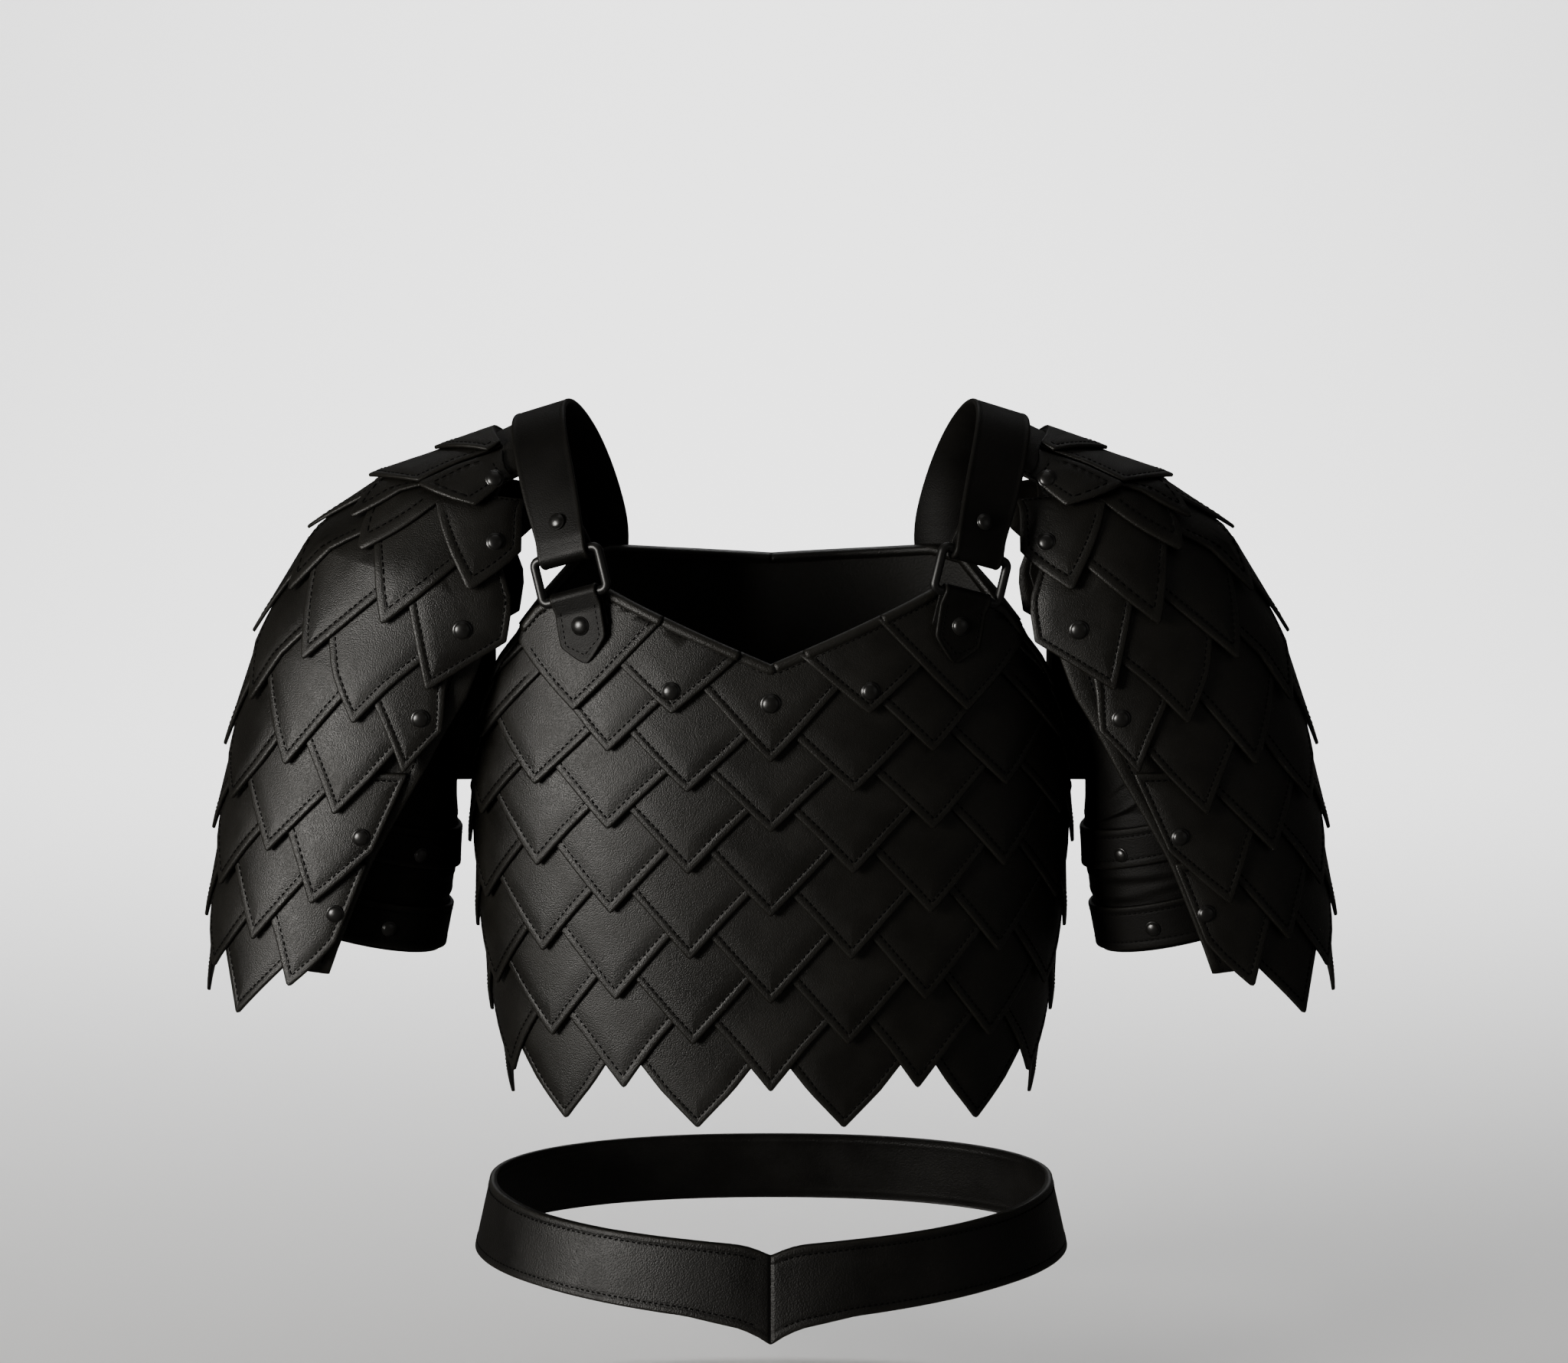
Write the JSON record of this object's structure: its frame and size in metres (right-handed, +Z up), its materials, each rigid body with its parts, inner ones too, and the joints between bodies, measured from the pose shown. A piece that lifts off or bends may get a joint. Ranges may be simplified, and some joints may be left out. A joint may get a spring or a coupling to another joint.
{
  "type": "leather scale chest armour",
  "caption": "Cropped black leather scale bodice with strap and ring fastened shoulders, scale shoulder pieces over soft sleeves, and a separate hip belt with a pointed front.",
  "frame": {"origin": "midway between the two shoulder straps, level with their tops, where the wearer's shoulders carry the garment", "axes": "+Z up, -Y the garment's front, +X the side to the right in a front view"},
  "size_m": [0.686, 0.253, 0.5448],
  "materials": {
    "leather": "black, fine grain, semi-matt",
    "soft_leather": "thin black leather, semi-matt",
    "black_metal": "black, satin"
  },
  "bodies": {
    "root": {"bodice_wall": "leather", "belt": "leather", "strap_left": "leather", "ring_left": "black_metal", "tab_left": "leather", "sleeve_left": "soft_leather", "upper_band_left": "soft_leather", "cuff_band_left": "soft_leather", "shoulder_wall_left": "leather", "shoulder_row_00_left": "leather", "shoulder_row_01_left": "leather", "shoulder_row_02_left": "leather", "shoulder_row_03_left": "leather", "shoulder_row_04_left": "leather", "shoulder_row_05_left": "leather", "shoulder_row_06_left": "leather", "shoulder_row_07_left": "leather", "shoulder_row_08_left": "leather", "shoulder_row_09_left": "leather", "shoulder_row_10_left": "leather", "shoulder_row_11_left": "leather", "shoulder_row_12_left": "leather", "shoulder_row_13_left": "leather", "strap_right": "leather", "ring_right": "black_metal", "tab_right": "leather", "sleeve_right": "soft_leather", "upper_band_right": "soft_leather", "cuff_band_right": "soft_leather", "shoulder_wall_right": "leather", "shoulder_row_00_right": "leather", "shoulder_row_01_right": "leather", "shoulder_row_02_right": "leather", "shoulder_row_03_right": "leather", "shoulder_row_04_right": "leather", "shoulder_row_05_right": "leather", "shoulder_row_06_right": "leather", "shoulder_row_07_right": "leather", "shoulder_row_08_right": "leather", "shoulder_row_09_right": "leather", "shoulder_row_10_right": "leather", "shoulder_row_11_right": "leather", "shoulder_row_12_right": "leather", "shoulder_row_13_right": "leather", "scale_row_01_left": "leather", "scale_row_01_right": "leather", "scale_row_01_back": "leather", "scale_row_02_front": "leather", "scale_row_02_back": "leather", "scale_row_03_front": "leather", "scale_row_03_back": "leather", "scale_row_04_front": "leather", "scale_row_04_back": "leather", "scale_row_05": "leather", "scale_row_06": "leather", "scale_row_07": "leather", "scale_row_08": "leather", "scale_row_09": "leather", "scale_row_10": "leather", "scale_row_11": "leather"}
  },
  "joints": []
}
